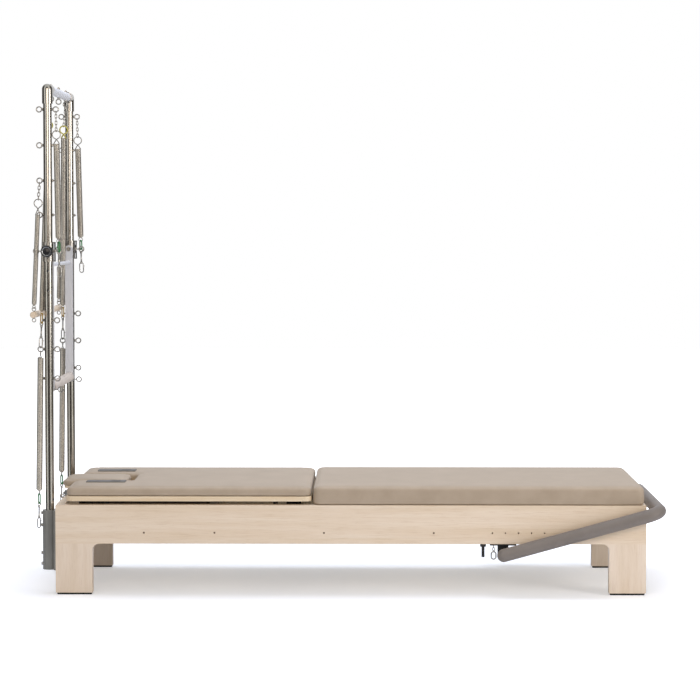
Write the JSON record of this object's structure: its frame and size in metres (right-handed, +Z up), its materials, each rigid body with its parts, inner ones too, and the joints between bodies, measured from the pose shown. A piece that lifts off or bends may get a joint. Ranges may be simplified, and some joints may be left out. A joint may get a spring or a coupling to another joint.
{
  "type": "pilates tower unit",
  "caption": "Wooden reformer bed with sliding carriage, mat and foot bar, and a tubular tower that carries hanging springs, a push-through bar and a roll-down bar.",
  "frame": {"origin": "on the floor under the middle of the part's length and width", "axes": "+X along the bed towards the foot bar, +Y across to the far side, +Z up"},
  "size_m": [2.5788, 0.798, 2.0795],
  "materials": {
    "maple": "satin",
    "plywood": "satin",
    "aluminium": "satin",
    "rubber": "matte",
    "brown_screws": "satin",
    "steel": "satin",
    "spring_steel": "bright",
    "chrome": "polished",
    "black_paint": "satin",
    "grey_paint": "satin",
    "plate_grey": "satin",
    "black_plastic": "satin",
    "vinyl": "soft satin",
    "grey_vinyl": "soft satin"
  },
  "bodies": {
    "frame": {"near_side_rail": "maple", "far_side_rail": "maple", "head_end_board": "maple", "foot_end_board": "maple", "cross_braces": "plywood", "near_track": "aluminium", "far_track": "aluminium", "leg_pads": "rubber", "rail_screws": "brown_screws", "spring_bar": "steel", "footbar_brackets": "black_paint", "strap_hooks": "chrome", "near_post_socket": "grey_paint", "far_post_socket": "grey_paint", "socket_bolts": "steel", "near_post": "steel", "far_post": "steel", "corner_elbows": "steel", "top_cross_tube": "steel", "tower_eyebolts": "steel", "long_springs": "spring_steel", "long_spring_hardware": "chrome"},
    "carriage": {"carriage_board": "plywood", "carriage_pad": "vinyl", "shoulder_plates": "plate_grey", "wheel_brackets": "black_paint", "wheel_axles": "steel", "rope_eyes": "chrome", "spring_hanger": "steel", "carriage_springs": "spring_steel", "headrest_hinge": "steel"},
    "headrest": {"headrest_board": "plywood", "headrest_pad": "vinyl"},
    "mat": {"mat_board": "plywood", "mat_pad": "vinyl"},
    "foot_bar": {"footbar_tube": "steel", "footbar_grip": "grey_vinyl"},
    "collars": {"push_bar_collars": "black_paint"},
    "near_knob": {"near_pull_knob": "black_plastic"},
    "far_knob": {"far_pull_knob": "black_plastic"},
    "push_bar": {"push_bar_arms": "aluminium", "push_bar_grip": "vinyl", "push_bar_fittings": "steel"},
    "near_arm_set": {"near_arm_spring": "spring_steel", "near_arm_hardware": "chrome"},
    "far_arm_set": {"far_arm_spring": "spring_steel", "far_arm_hardware": "chrome"},
    "near_leg_set": {"near_leg_spring": "spring_steel", "near_leg_hardware": "chrome"},
    "far_leg_set": {"far_leg_spring": "spring_steel", "far_leg_hardware": "chrome"},
    "roll_down_set": {"roll_down_springs": "spring_steel", "roll_down_hardware": "steel", "roll_down_bar": "maple"},
    "head_wheel_pair": {"head_wheels": "black_plastic"},
    "foot_wheel_pair": {"foot_wheels": "black_plastic"},
    "near_head_guide_wheel": {"near_head_guide": "black_plastic"},
    "far_head_guide_wheel": {"far_head_guide": "black_plastic"},
    "near_foot_guide_wheel": {"near_foot_guide": "black_plastic"},
    "far_foot_guide_wheel": {"far_foot_guide": "black_plastic"}
  },
  "joints": [
    {"name": "carriage_slide", "type": "slide", "parent": "frame", "child": "carriage", "axis": [1, 0, 0], "range_m": [0, 0.9]},
    {"name": "mat_lift_off", "type": "slide", "parent": "frame", "child": "mat", "axis": [0.9781, 0, 0.2079], "range_m": [0, 0.94]},
    {"name": "headrest_tilt", "type": "hinge", "parent": "carriage", "child": "headrest", "pos_m": [-0.9264, 0, 0.407], "axis": [0, 1, 0], "range_deg": [0, 40]},
    {"name": "footbar_swing", "type": "hinge", "parent": "frame", "child": "foot_bar", "pos_m": [0.6266, 0, 0.168], "axis": [0, -1, 0], "range_deg": [0, 75]},
    {"name": "push_bar_slide", "type": "slide", "parent": "frame", "child": "collars", "axis": [0, 0, 1], "range_m": [-0.16, 0]},
    {"name": "push_bar_swing", "type": "hinge", "parent": "collars", "child": "push_bar", "pos_m": [-1.2214, 0, 1.397], "axis": [0, -1, 0], "range_deg": [0, 150]},
    {"name": "near_knob_push", "type": "slide", "parent": "collars", "child": "near_knob", "axis": [0, 1, 0], "range_m": [0, 0.01]},
    {"name": "far_knob_push", "type": "slide", "parent": "collars", "child": "far_knob", "axis": [0, -1, 0], "range_m": [0, 0.01]},
    {"name": "near_arm_swing", "type": "hinge", "parent": "frame", "child": "near_arm_set", "pos_m": [-1.1874, -0.2965, 1.971], "axis": [0, -1, 0], "range_deg": [0, 40]},
    {"name": "far_arm_swing", "type": "hinge", "parent": "frame", "child": "far_arm_set", "pos_m": [-1.1874, 0.2965, 1.971], "axis": [0, -1, 0], "range_deg": [0, 40]},
    {"name": "near_leg_swing", "type": "hinge", "parent": "frame", "child": "near_leg_set", "pos_m": [-1.2554, -0.2965, 0.998], "axis": [0, 1, 0], "range_deg": [0, 30]},
    {"name": "far_leg_swing", "type": "hinge", "parent": "frame", "child": "far_leg_set", "pos_m": [-1.2554, 0.2965, 0.998], "axis": [0, 1, 0], "range_deg": [0, 30]},
    {"name": "roll_down_swing", "type": "hinge", "parent": "frame", "child": "roll_down_set", "pos_m": [-1.2554, 0, 1.683], "axis": [0, 1, 0], "range_deg": [0, 35]},
    {"name": "head_wheels_spin", "type": "hinge", "parent": "carriage", "child": "head_wheel_pair", "pos_m": [-1.0774, 0, 0.2952], "axis": [0, 1, 0], "range_deg": [0, 2080]},
    {"name": "foot_wheels_spin", "type": "hinge", "parent": "carriage", "child": "foot_wheel_pair", "pos_m": [-0.2254, 0, 0.2952], "axis": [0, 1, 0], "range_deg": [0, 2080]},
    {"name": "near_head_guide_spin", "type": "hinge", "parent": "carriage", "child": "near_head_guide_wheel", "pos_m": [-1.0024, -0.2828, 0.307], "axis": [0, 0, 1], "range_deg": [-2870, 0]},
    {"name": "near_foot_guide_spin", "type": "hinge", "parent": "carriage", "child": "near_foot_guide_wheel", "pos_m": [-0.3004, -0.2828, 0.307], "axis": [0, 0, 1], "range_deg": [-2870, 0]},
    {"name": "far_head_guide_spin", "type": "hinge", "parent": "carriage", "child": "far_head_guide_wheel", "pos_m": [-1.0024, 0.2828, 0.307], "axis": [0, 0, 1], "range_deg": [0, 2870]},
    {"name": "far_foot_guide_spin", "type": "hinge", "parent": "carriage", "child": "far_foot_guide_wheel", "pos_m": [-0.3004, 0.2828, 0.307], "axis": [0, 0, 1], "range_deg": [0, 2870]}
  ],
  "couplings": [
    {"joint": "mat_lift_off", "follows": "carriage_slide", "ratio": 1.04},
    {"joint": "head_wheels_spin", "follows": "carriage_slide", "rad_per_m": 40},
    {"joint": "foot_wheels_spin", "follows": "carriage_slide", "rad_per_m": 40},
    {"joint": "near_head_guide_spin", "follows": "carriage_slide", "rad_per_m": -55.556},
    {"joint": "near_foot_guide_spin", "follows": "carriage_slide", "rad_per_m": -55.556},
    {"joint": "far_head_guide_spin", "follows": "carriage_slide", "rad_per_m": 55.556},
    {"joint": "far_foot_guide_spin", "follows": "carriage_slide", "rad_per_m": 55.556}
  ]
}
